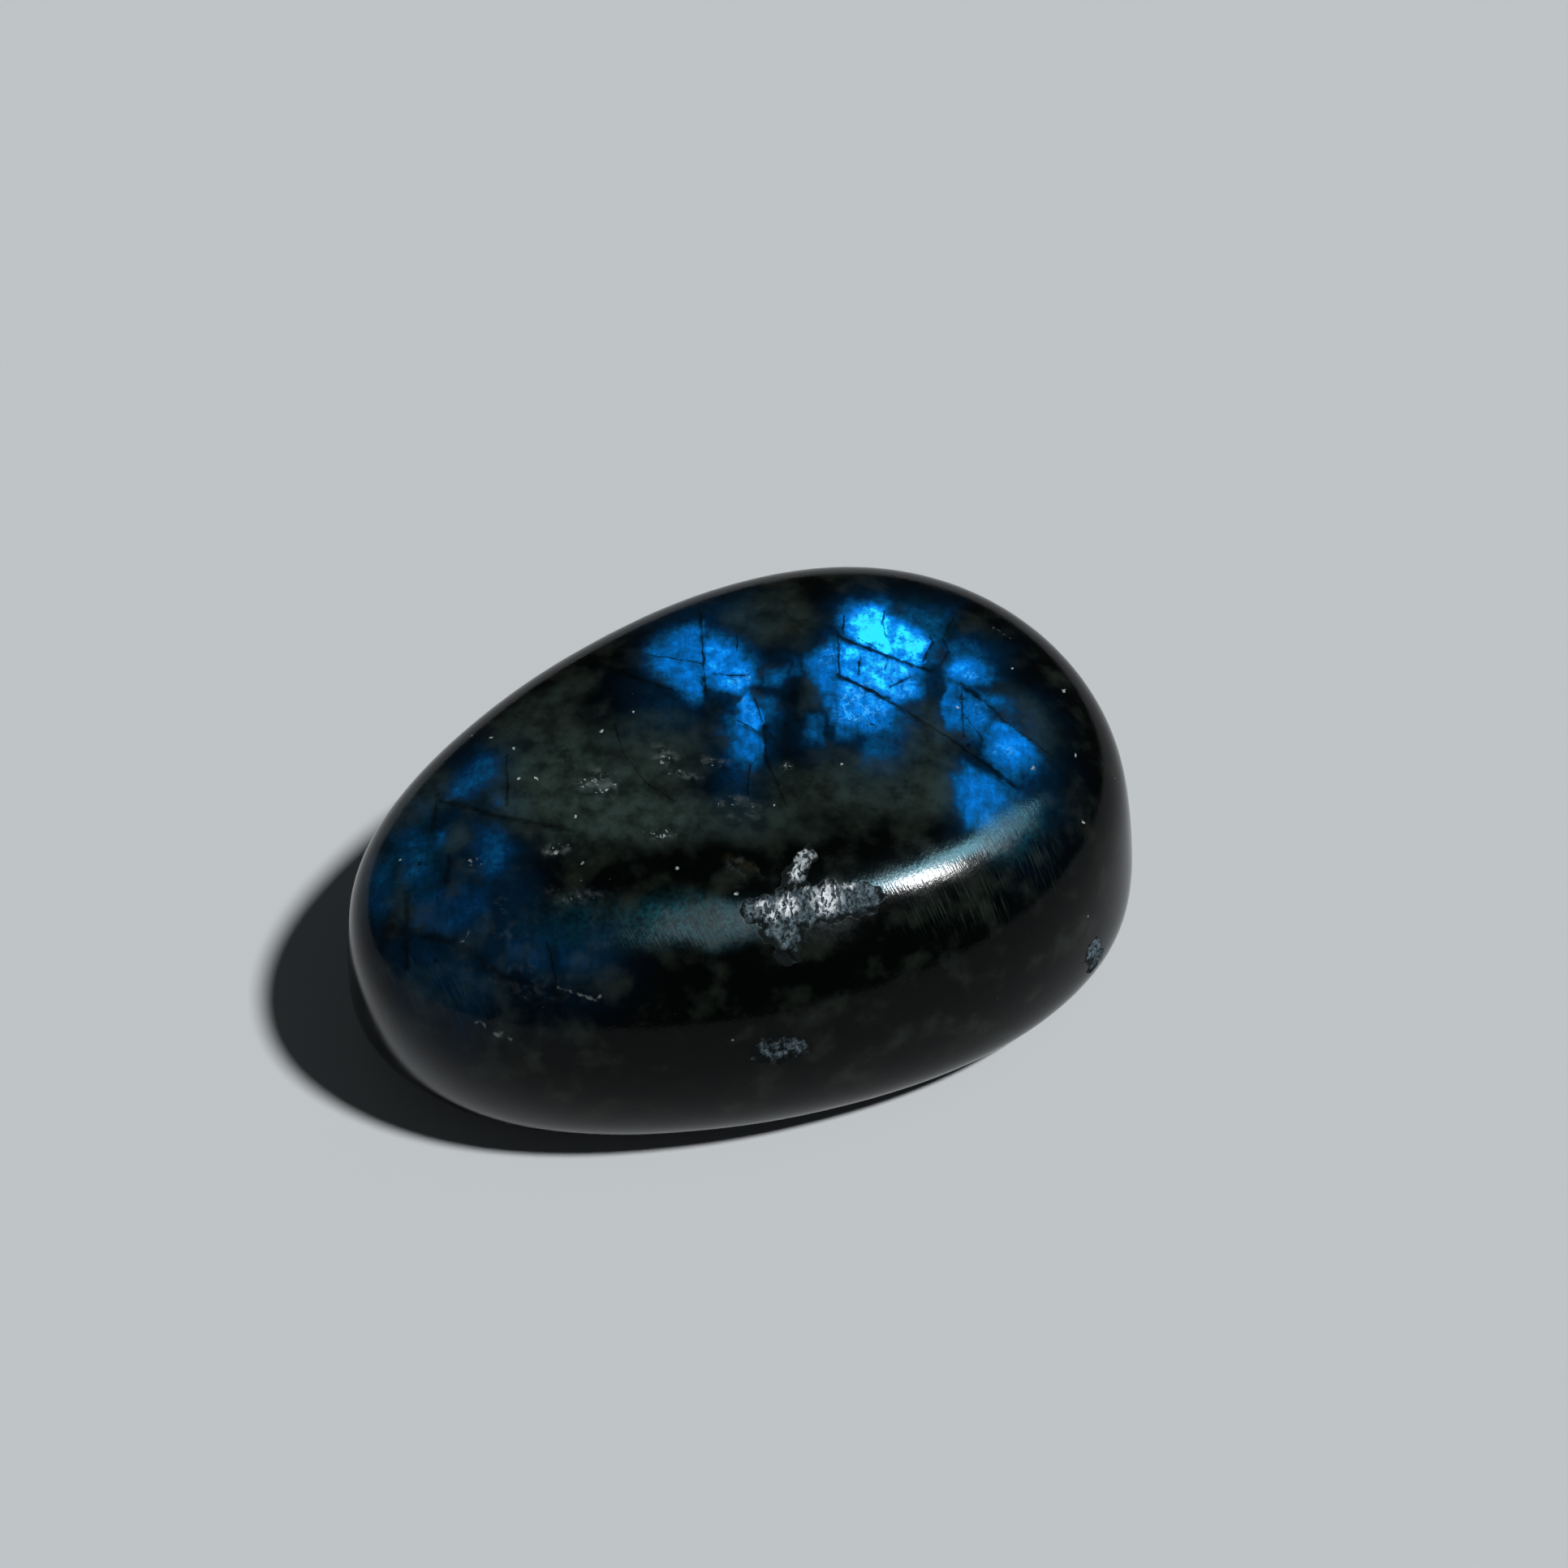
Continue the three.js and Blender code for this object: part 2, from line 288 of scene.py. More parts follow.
# Soft patches: where each lies, its half sizes, its turn in degrees and how strong it is.
Patch = namedtuple("Patch", "across away long wide turn strength")
PATCHES = {
    # Paler grey-green patches in the crown
    "haze": [
        Patch(-8.6, -2.2, 5.4, 3.6, 0, 0.9), Patch(-5.0, -3.6, 4.0, 2.0, -6, 0.9),
        Patch(-10.2, 1.0, 3.4, 2.6, 20, 0.6), Patch(-4.2, 1.4, 3.0, 2.4, 0, 0.5),
        Patch(11.0, 3.4, 1.4, 3.6, 12, 0.6), Patch(8.6, -0.8, 4.6, 2.4, 8, 0.6),
        Patch(11.4, -1.6, 2.0, 1.6, 0, 0.5), Patch(2.2, 11.4, 2.8, 2.4, 0, 0.5),
        Patch(4.6, 6.0, 0.9, 1.6, 0, 0.5), Patch(4.0, -1.8, 3.0, 2.4, 0, 0.4),
        Patch(1.0, -3.8, 3.2, 1.4, 0, 0.5), Patch(-18.0, -1.8, 2.4, 2.0, 40, 0.5),
        Patch(-15.4, -5.2, 0.8, 1.0, 0, 0.5), Patch(17.0, 4.6, 1.6, 2.6, 40, 0.4),
        Patch(-11.5, 4.0, 3.6, 1.3, 38, 0.6),
    ],
    # Dull polish
    "dull": [
        Patch(-1.5, -9.7, 3.1, 1.3, 6, 0.85), Patch(-5.6, -10.5, 3.6, 1.7, 5, 0.15),
        Patch(-15.0, -11.0, 4.0, 2.6, 0, 0.25), Patch(15.4, -2.8, 2.4, 1.0, 42, 0.5),
        Patch(4.6, -9.6, 2.6, 0.9, 8, 0.45),
    ],
    # A blue-green tint under the dull polish
    "teal": [
        Patch(-2.3, -9.7, 3.8, 1.35, 6, 1.0), Patch(-8.0, -10.2, 3.4, 1.6, 0, 0.3),
        Patch(-17.6, -6.6, 1.6, 2.4, 0, 0.4), Patch(-19.8, -7.2, 1.0, 2.2, 0, 0.35),
        Patch(11.0, 11.6, 2.2, 1.6, -30, 0.35), Patch(15.4, -2.8, 2.6, 1.4, 42, 1.0),
    ],
    # Brown stains
    "stain": [
        Patch(0.6, -6.6, 0.6, 0.35, -40, 0.45), Patch(-0.2, -6.0, 0.35, 0.25, 0, 0.3),
        Patch(1.7, -16.1, 1.8, 1.4, 0, 0.6),
    ],
    # Fine scratches across the shoulder
    "scratches": [
        Patch(12.6, -6.9, 3.4, 1.4, 25, 0.55), Patch(17.4, -3.6, 1.6, 1.6, 0, 0.45),
        Patch(-16.0, -13.5, 4.0, 1.2, -20, 0.2),
    ],
    # Fine foil in the brightest flashes
    "foil": [
        Patch(7.2, 4.6, 1.7, 2.0, -25, 1.0), Patch(9.6, 6.4, 0.9, 0.9, 0, 0.9),
        Patch(13.7, 7.4, 0.7, 0.5, 0, 1.0), Patch(14.3, 5.0, 0.5, 0.9, -30, 1.0),
        Patch(15.3, 2.3, 0.6, 0.5, 0, 1.0), Patch(0.3, 6.4, 0.7, 0.9, 0, 1.0),
        Patch(5.5, 8.6, 0.5, 0.9, 0, 0.8), Patch(11.0, 9.4, 0.7, 1.0, 0, 0.8),
        Patch(7.2, 11.0, 0.5, 0.9, 0, 0.6), Patch(0.7, 4.2, 0.4, 0.8, 0, 0.7),
        Patch(7.8, 10.9, 1.0, 1.0, 0, 0.6), Patch(8.6, 7.6, 1.7, 0.9, -25, 0.6),
    ],
    # Pale flecks
    "flecks": [
        Patch(-7.7, -1.5, 1.1, 0.9, 0, 1.0), Patch(-4.2, 0.8, 0.8, 0.7, 0, 0.8),
        Patch(-3.2, -0.6, 1.4, 0.5, -20, 0.8), Patch(-1.0, 0.6, 0.8, 0.4, 0, 0.8),
        Patch(-4.2, -4.7, 1.3, 0.5, 0, 0.9), Patch(3.3, 0.0, 0.6, 0.6, 0, 0.9),
        Patch(0.2, -2.8, 1.4, 0.7, 0, 0.7), Patch(-10.0, -5.8, 0.8, 0.5, 30, 1.0),
        Patch(-13.1, -9.5, 0.5, 0.7, 0, 0.7), Patch(-8.6, -8.6, 1.8, 0.6, 0, 0.6),
        Patch(-14.2, -6.9, 0.6, 0.4, 30, 1.0), Patch(-11.0, -13.2, 4.0, 0.5, -8, 0.2),
        Patch(0.5, -6.8, 1.0, 0.8, 0, 0.6), Patch(-12.2, -10.8, 1.4, 0.8, -40, 0.2),
    ],
}
PATCH_EDGE = (1.4, 0.4)
PATCH_SWAY = Sway(0.5, 0.7)

# Patches and flashes fade in between these heights.
MARKED_HEIGHTS = (6.0, 10.0)

# Single pale flecks, across and away.
FLECKS = [
    (19.3, 7.5), (16.3, 8.5), (17.2, 1.3), (19.8, 2.9), (20.1, -1.0), (6.1, 0.4), (12.9, 5.0),
    (2.3, -2.5), (-18.6, -6.2), (-14.0, 2.2), (-5.9, 3.75), (-7.6, 2.3), (-3.1, -6.9), (0.2, -8.1),
    (-12.6, 1.1), (-8.4, -6.8), (-12.2, -1.2), (-11.2, -1.2), (-8.9, -3.8),
]

# Dark healed cracks along two cleavage directions: half a width, and a run of points across and away.
Crack = namedtuple("Crack", "width points")
CRACKS = [
    # The bright blocks
    Crack(0.16, [(5.9, 7.0), (8.0, 5.8), (12.0, 3.0), (16.0, -0.1)]),
    Crack(0.16, [(6.1, 9.85), (8.8, 8.6), (11.3, 7.6)]),
    Crack(0.06, [(7.2, 9.9), (8.5, 8.95)]),
    Crack(0.10, [(8.8, 12.2), (8.7, 11.2), (8.85, 10.1)]),
    Crack(0.12, [(6.0, 10.0), (6.1, 7.0)]),
    Crack(0.08, [(6.35, 11.9), (6.35, 10.2)]),
    Crack(0.10, [(7.3, 8.4), (7.15, 7.1)]),
    Crack(0.09, [(8.9, 8.4), (8.75, 7.5)]),
    Crack(0.10, [(9.0, 6.2), (10.2, 7.1)]),
    Crack(0.12, [(11.4, 10.6), (11.6, 9.9), (10.95, 8.3)]),
    # The broad end
    Crack(0.12, [(12.9, 12.0), (12.2, 10.2), (12.5, 9.3), (12.0, 8.0)]),
    Crack(0.10, [(13.2, 6.8), (13.2, 3.0)]),
    Crack(0.09, [(13.2, 6.5), (15.0, 5.2), (15.6, 4.3), (18.4, 2.3)]),
    Crack(0.08, [(13.4, 4.3), (14.3, 2.8)]),
    # The back and the middle
    Crack(0.10, [(-2.1, 11.8), (-1.9, 8.0), (-1.7, 5.2)]),
    Crack(0.07, [(-5.3, 8.3), (-2.0, 7.55)]),
    Crack(0.08, [(0.05, 10.2), (0.1, 8.6)]),
    Crack(0.06, [(-1.6, 6.8), (1.4, 6.6)]),
    Crack(0.08, [(1.15, 5.0), (1.6, 3.4)]),
    Crack(0.06, [(0.2, 3.35), (1.2, 2.7)]),
    Crack(0.13, [(1.7, 3.0), (1.8, 0.6), (3.0, -2.6)]),
    Crack(0.10, [(0.9, 0.2), (0.7, -2.6)]),
    Crack(0.09, [(-7.0, 7.0), (-3.6, 5.4)]),
    Crack(0.09, [(-6.9, 2.9), (-6.4, 0.9), (-5.0, -1.3), (-3.4, -2.5)]),
    Crack(0.30, [(3.5, 5.6), (3.6, 3.6)]),
    # The narrow end
    Crack(0.20, [(-16.8, -1.8), (-16.9, -4.6)]),
    Crack(0.13, [(-13.0, 0.6), (-12.7, -3.0)]),
    Crack(0.26, [(-16.6, -2.4), (-13.4, -3.7), (-9.0, -4.8)]),
    Crack(0.40, [(-19.4, -10.1), (-15.4, -11.4)]),
    Crack(0.30, [(-15.4, -11.4), (-12.6, -13.0), (-9.5, -13.6)]),
    Crack(0.26, [(-18.1, -8.4), (-18.0, -12.2)]),
    Crack(0.22, [(-15.8, -6.3), (-15.9, -7.8)]),
    Crack(0.12, [(-10.2, -11.4), (-9.7, -13.2)]),
]

# Pale hairlines: half a width, and a run of points across and away.
HAIRLINES = [
    Crack(0.07, [(-9.6, -13.3), (-8.6, -13.6), (-7.2, -13.7)]),
    Crack(0.06, [(-14.2, -14.6), (-13.2, -15.0), (-12.2, -15.2)]),
    Crack(0.05, [(-15.2, -11.6), (-14.7, -11.1), (-14.6, -10.6)]),
    Crack(0.07, [(15.4, 11.7), (16.2, 11.1)]),
]

# Colours of the stone
FLASH_COLOURS = [
    (0.00, (0.000, 0.000, 0.000)),
    (0.15, (0.000, 0.007, 0.018)),
    (0.25, (0.000, 0.014, 0.045)),
    (0.40, (0.001, 0.045, 0.125)),
    (0.60, (0.001, 0.100, 0.350)),
    (0.75, (0.001, 0.150, 0.560)),
    (0.88, (0.003, 0.220, 0.800)),
    (1.00, (0.007, 0.330, 0.850)),
    (1.10, (0.014, 0.520, 0.890)),
    (1.22, (0.025, 0.780, 0.930)),
]
FLASH_PEAK = 1.25
FOIL_COLOUR = (0.06, 0.46, 0.95, 1.0)
BODY_BLACK = (0.0006, 0.0010, 0.0009, 1.0)
BODY_OLIVE = (0.0110, 0.0150, 0.0112, 1.0)
BODY_HAZE = (0.0240, 0.0400, 0.0350, 1.0)
BODY_TEAL = (0.0020, 0.0360, 0.0470, 1.0)
STAIN_COLOUR = (0.016, 0.012, 0.005, 1.0)
FLECK_COLOUR = (0.42, 0.50, 0.50, 1.0)
GRAIN_COLOURS = [
    (0.32, (0.010, 0.016, 0.020)),
    (0.48, (0.042, 0.063, 0.076)),
    (0.64, (0.130, 0.175, 0.200)),
]
# Painted glint: splinters are painted this near-white where the highlight would catch them.
PAINTED_GLINT_COLOUR = (0.86, 0.92, 0.95, 1.0)

# The polish: how it bends light, how strongly it mirrors, and how strongly the flashes glow by themselves,
# a painted glow.
STONE_IOR = 1.56
STONE_MIRROR = 0.09
FLASH_PAINTED_GLOW = 0.2

# Noise over the stone: waves a millimetre, finer layers, the levels at which a rise starts and ends, its
# values there, how far the noise is bent, and how strong its finer layers are.
Texture = namedtuple(
    "Texture", "rate layers low high bottom top bend rough", defaults=(0.0, 1.0, 0.0, 1.0, 0.0, 0.5)
)
SWAY_LAYERS = 2.0
NOISE_MIDDLE = 0.5

# Cracks: their sway, where they thin out and where they fade. A line and its dim border begin and are whole
# at these distances, in half widths.
CRACK_SWAYS = [Sway(0.9, 0.25), Sway(2.4, 0.16)]
CRACK_THINNING = Texture(1.3, 3.0, 0.32, 0.68, 0.55, 1.7)
CRACK_FADING = Texture(0.7, 2.0, 0.30, 0.60, 0.60, 1.0)
CRACK_LINE = (1.1, 0.2)
CRACK_BORDER = (4.5, 1.0)

# Lines like creased foil, and the glow at which foil shows in a flash.
FOIL_SWAY = Sway(1.5, 0.5)
FOIL_CURL = Texture(2.1, 1.0, bend=0.8)
FOIL_LINE = (0.055, 0.010)
FOIL_GAPS = Texture(1.7, 2.0, 0.36, 0.56)
FOIL_GLOW = (0.45, 0.80, 0.0, 0.75)

# Clouds, streaks and crinkles in a flash, and how much creases, cracks and their borders dim it.
FLASH_CLOUD = Texture(1.1, 4.0, 0.30, 0.70, 0.78, 1.12)
FLASH_STREAKS = Texture(1.0, 3.0, 0.30, 0.70, 0.90, 1.08)
STREAK_SWAY = Sway(1.2, 0.4)
STREAK_STRETCH = (3.2, 0.9, 0.0)
FLASH_CRINKLE = Texture(2.6, 3.0, 0.34, 0.66, 0.90, 1.08, bend=0.9)
CREASE_SCALE = 0.62
CREASED_GLOW = (0.8, 1.0)
CREASE_DIMMING = 0.16
CRACK_DIMMING = 0.66
BORDER_DIMMING = 0.14

# The body: its mottling, clouds in the haze, fine scratches, frost in the blue-green tint, how black cracks
# are, and the glow over which the body turns black.
BODY_MOTTLE = Texture(0.5, 5.0, 0.46, 0.78)
HAZE_CLOUD = Texture(0.8, 5.0, 0.32, 0.70, 0.30, 1.15, rough=0.62)
SCRATCH_TURN = 32.0
SCRATCH_SIZE = (0.10, 1.3, 1.0)
SCRATCH_LINES = Texture(1.0, 3.0, 0.48, 0.72)
TEAL_FROST = Texture(4.0, 2.0, 0.30, 0.70, 0.35, 1.30)
CRACK_BLACKNESS = 0.55
BLACK_UNDER_GLOW = (0.15, 0.45)

# Crumbs and smudges in the patches of flecks. A crumb is where the noise is over a level, which is lower
# where the patch is strong.
CRUMBS = Texture(4.2, 2.0, bend=0.6)
CRUMB_LEVELS = (0.0, 1.0, 0.78, 0.57)
CRUMB_EDGE = (0.0, 0.10)
CRUMB_STRENGTH = Texture(1.8, 1.0, 0.35, 0.65, 0.08, 0.8)
SMUDGES = Texture(1.6, 4.0, 0.46, 0.74, 0.0, 0.13, bend=0.3)

# Single flecks and hairlines.
FLECK_SWAY = Sway(2.6, 0.5)
FLECK_EDGE = (0.14, 0.04, 0.0, 0.9)
HAIRLINE_SWAY = Sway(1.6, 0.5)
HAIRLINE_EDGE = (1.2, 0.3)
HAIRLINE_STRENGTH = Texture(3.0, 2.0, 0.35, 0.65, 0.04, 0.22)

# Small round specks: their sway, cells a millimetre, a speck's size, the share of cells with one, and how
# strong it is. A speck is whole in a share of its size.
Specks = namedtuple("Specks", "sway rate size share strength")
DUST = Specks(Sway(2.0, 0.6), 0.42, 0.085, 0.30, 0.45)
PIN_HOLES = Specks(Sway(3.0, 0.35), 0.9, 0.15, 0.16, 0.85)
SPECK_CORE = 0.5

# Splinters in the break-outs, which of them get painted glints, and the ragged line where the pale floor
# begins, with painted shade below it.
SHARD_SWAY = Sway(2.0, 0.5)
SHARD_STRETCH = (1.6, 1.0, 0.8)
SHARDS_PER_MM = 4.4
SHARD_SHARE = 0.36
GRAIN_NOISE = Texture(6.0, 3.0)
PAINTED_GLINT_SHARDS = (0.28, 0.72)
FLOOR_RAGGED = Texture(2.0, 3.0, 0.3, 0.7, -0.5, 0.3)
FLOOR_EDGE = (0.0, 0.8)
BROKEN_COLOUR_EDGE = (0.05, 0.25)

# Roughness of the polish, of its dull patches and of broken grains.
POLISH = Texture(0.5, 4.0, 0.3, 0.7, 0.10, 0.16)
WORN_POLISH = Texture(2.6, 4.0, 0.30, 0.70, 0.40, 1.1, rough=0.65)
DULL_ROUGHNESS = 0.55
GRAIN_ROUGHNESS = 0.80
BROKEN_ROUGH_EDGE = (0.02, 0.08)

# Fine ripples left in the polish, half of them along the scratches.
RIPPLES = Texture(4.5, 2.0)
BRUSHED_SHARE = 0.5
RIPPLE_HEIGHT = 0.02
RIPPLE_STRENGTH = 0.5


def outward(facing, lean):
    """The unit vector that faces a way round the stone and leans up, both in degrees."""
    turn, rise = math.radians(facing), math.radians(lean)
    return np.array([math.cos(turn) * math.cos(rise), math.sin(turn) * math.cos(rise), math.sin(rise)])


WORN_PLANES = np.array([outward(facing, lean) / reach for facing, lean, reach in WORN_FACES.values()])


def surface_points(directions):
    """The polished surface in each direction, from the pebble's middle."""
    leans = np.maximum(directions @ WORN_PLANES.T, 0.0)
    distances = (leans ** EDGE_HARDNESS).sum(axis=1) ** (-1.0 / EDGE_HARDNESS)
    return directions * distances[:, None]


def surface_normals(points):
    """The way the polished surface faces at each point."""
    leans = np.maximum(points @ WORN_PLANES.T, 0.0)
    normals = (leans ** (EDGE_HARDNESS - 1.0)) @ WORN_PLANES
    return normals / np.linalg.norm(normals, axis=1)[:, None]


def smoothstep(low, high, values):
    """A smooth rise from 0 at the low value to 1 at the high one."""
    share = np.clip((values - low) / (high - low), 0.0, 1.0)
    return share * share * (3.0 - 2.0 * share)


def break_out_middle(break_out):
    return surface_points(outward(break_out.facing, break_out.lean)[None, :])[0]


def near_break_outs(places, share):
    """Which places lie within a share of some break-out's reach."""
    near = np.zeros(len(places), dtype=bool)
    for break_out in BREAK_OUTS:
        gaps = np.linalg.norm(places - break_out_middle(break_out), axis=1)
        near |= gaps < share * break_out.reach
    return near


def places_on(ball):
    """Where each corner of a unit ball lies on the polished surface."""
    return surface_points(np.array([corner.co for corner in ball.verts]))


def split_between(ball, chosen):
    """Splits the edges between chosen corners of a unit ball, and keeps the ball round."""
    edges = [edge for edge in ball.edges if all(chosen[corner.index] for corner in edge.verts)]
    bmesh.ops.subdivide_edges(ball, edges=edges, cuts=1, use_grid_fill=True)
    bmesh.ops.triangulate(ball, faces=[face for face in ball.faces if len(face.verts) > 3])
    for corner in ball.verts:
        corner.co.normalize()
    ball.verts.index_update()


def split_ball():
    """A unit ball of small triangles, finer over the crown and finest in the break-outs."""
    ball = bmesh.new()
    bmesh.ops.create_icosphere(ball, subdivisions=BALL_SUBDIVISIONS, radius=1.0)
    ball.verts.index_update()
    places = places_on(ball)
    split_between(ball, (places[:, 2] > CROWN_HEIGHT) | near_break_outs(places, 1.0))
    split_between(ball, near_break_outs(places_on(ball), FINEST_SHARE))
    return ball


def slope_at(break_out):
    """A break-out's middle on the surface, and the ways along the pebble and up its slope there."""
    middle = break_out_middle(break_out)
    normal = surface_normals(middle[None, :])[0]
    along = np.cross(UP, normal)
    along /= np.linalg.norm(along)
    return middle, along, np.cross(normal, along)


def grain_gap(break_out, x, y):
    """How far a place lies from the nearest grain's hole, below zero inside it."""
    return min(math.hypot(x - grain.along, y - grain.up) - grain.width / 2 for grain in break_out.grains)


def flake_height(point, x, y):
    """The height of a break-out's floor: flat flakes, each at its own height and tilt."""
    cosine, sine = math.cos(FLAKE_TURN), math.sin(FLAKE_TURN)
    place = Vector(((x * cosine + y * sine) / FLAKE_LENGTH, (y * cosine - x * sine) / FLAKE_WIDTH, 0.0))
    place += FLAKE_BEND.size * noise.noise_vector(point * FLAKE_BEND.rate)
    centre = noise.voronoi(place)[1][0]
    lean = noise.noise_vector(centre * TILT_RATE)
    step = noise.noise(centre * STEP_RATE + STEP_START)
    return FLOOR_STEP * step + FLOOR_TILT * FLAKE_WIDTH * (place - centre).dot(lean)


def break_out_cut(points, break_out):
    """How far a break-out sinks each point, how broken it is, how pale it is with painted light and shade,
    and its painted glint.
    """
    middle, along, up_slope = slope_at(break_out)
    sunk, cover, inner, glint = (np.zeros(len(points)) for _ in range(4))
    for i in np.nonzero(np.linalg.norm(points - middle, axis=1) < break_out.reach)[0]:
        point = Vector(points[i])
        offset = points[i] - middle
        x, y = offset @ along, offset @ up_slope
        ragged = sum(share * noise.noise(point * rate) for rate, share in RAGGED_LAYERS)
        gap = grain_gap(break_out, x, y) + RAGGED_EDGE * ragged
        bowl = smoothstep(*BOWL_EDGE, gap)
        floor = break_out.depth * (RIM_DEPTH + BOWL_DEPTH * bowl)
        flakes = (RIM_FLAKES + BOWL_FLAKES * bowl) * flake_height(point, x, y)
        cover[i] = smoothstep(EDGE_WALL, -EDGE_WALL, gap)
        sunk[i] = cover[i] * max(SHALLOWEST, floor - flakes)
        # Painted light and shade: the pale floor is moved towards the lit side and fades to dark down the
        # slope.
        lit_side_gap = grain_gap(break_out, x - LIT_SIDE_SHIFT[0], y - LIT_SIDE_SHIFT[1])
        inner[i] = break_out.pale * smoothstep(*PALE_EDGE, lit_side_gap) * smoothstep(*PAINTED_SHADE_FOOT, y)
        # Painted glints: spots where pale splinters are painted bright.
        for spot in break_out.bright:
            away = math.hypot(x - spot.along, y - spot.up)
            near = smoothstep(spot.width, SPOT_CORE * spot.width, away)
            glint[i] = max(glint[i], spot.strength * near)
    return sunk, cover, inner, glint


def swayed(places, sway):
    """Places moved about by noise, so that straight edges turn natural."""
    return places + sway.size * np.array([noise.noise_vector(Vector(place) * sway.rate) for place in places])


def plan_of(points):
    """Places across and away, as the stone is seen from above."""
    turn = math.radians(VIEW_TURN)
    across = points @ (math.cos(turn), -math.sin(turn), 0.0)
    away = points @ (math.sin(turn), math.cos(turn), 0.0)
    return np.stack([across, away, np.zeros(len(points))], axis=1)


def block_glow(places, block):
    """The glow of one block at each place, with its halo."""
    corners = block.corners
    ring = list(zip(corners, corners[1:] + corners[:1]))
    area = sum(x * next_y - next_x * y for (x, y, _), (next_x, next_y, _) in ring)
    inner, halo = np.ones(len(places)), np.ones(len(places))
    for (x, y, soft), (next_x, next_y, _) in ring:
        length = math.copysign(math.hypot(next_x - x, next_y - y), area)
        inside = ((places[:, 0] - x) * (y - next_y) + (places[:, 1] - y) * (next_x - x)) / length
        inner = np.minimum(inner, smoothstep(-soft, soft - SHARPEST_EDGE, inside))
        halo *= smoothstep(-soft - HALO_WIDTH, soft - SHARPEST_EDGE, inside)
    return block.glow * np.maximum(inner, HALO_GLOW * halo)


def patch_strength(places, patches):
    """How strongly soft patches mark each place."""
    left_plain = np.ones(len(places))
    for patch in patches:
        cosine, sine = math.cos(math.radians(patch.turn)), math.sin(math.radians(patch.turn))
        across, away = places[:, 0] - patch.across, places[:, 1] - patch.away
        along = (across * cosine + away * sine) / patch.long
        over = (away * cosine - across * sine) / patch.wide
        left_plain *= 1.0 - patch.strength * smoothstep(*PATCH_EDGE, np.hypot(along, over))
    return 1.0 - left_plain


def marks_of(points):
    """The stone's soft markings at each point, by name."""
    plan = plan_of(points)
    upper = smoothstep(*MARKED_HEIGHTS, points[:, 2])
    patch_places = swayed(plan, PATCH_SWAY)
    marks = {name: upper * patch_strength(patch_places, patches) for name, patches in PATCHES.items()}
    block_places = plan
    for sway in BLOCK_SWAYS:
        block_places = swayed(block_places, sway)
    marks["glow"] = upper * np.max([block_glow(block_places, block) for block in FLASHES], axis=0)
    return marks


def stone_mesh():
    """The pebble with its break-outs, in metres, standing where the solid stands."""
    ball = split_ball()
    points = places_on(ball)
    middle = (points.min(axis=0) + points.max(axis=0)) / 2
    foot = points[:, 2].min() + RESTING_WEAR
    waves = np.array([noise.noise(Vector(point) / WAVE_LENGTH) for point in points])
    cuts = [break_out_cut(points, break_out) for break_out in BREAK_OUTS]
    sunk, cover, inner, glint = np.max(cuts, axis=0)
    points = points + surface_normals(points) * (WAVE_HEIGHT * waves - sunk)[:, None]
    points[:, 2] = np.maximum(points[:, 2], foot)
    low, high = (np.array(corner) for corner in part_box("stone"))
    shift = np.array([*(low + high)[:2] / 2, low[2]]) - MM * np.array([middle[0], middle[1], foot])
    for corner, point in zip(ball.verts, points):
        corner.co = MM * point + shift
    mesh = bpy.data.meshes.new("stone_polished")
    ball.to_mesh(mesh)
    ball.free()
    smooth = [all(cover[corner] < FLAT_COVER for corner in face.vertices) for face in mesh.polygons]
    mesh.polygons.foreach_set("use_smooth", smooth)
    marks = marks_of(points + shift / MM)
    # inner holds the pale floor with its painted light and shade; the glints are painted.
    marks.update(break_out=cover, inner=inner, glint=glint)
    for name, values in marks.items():
        mesh.attributes.new(name, "FLOAT", "POINT").data.foreach_set("value", values)
    return mesh


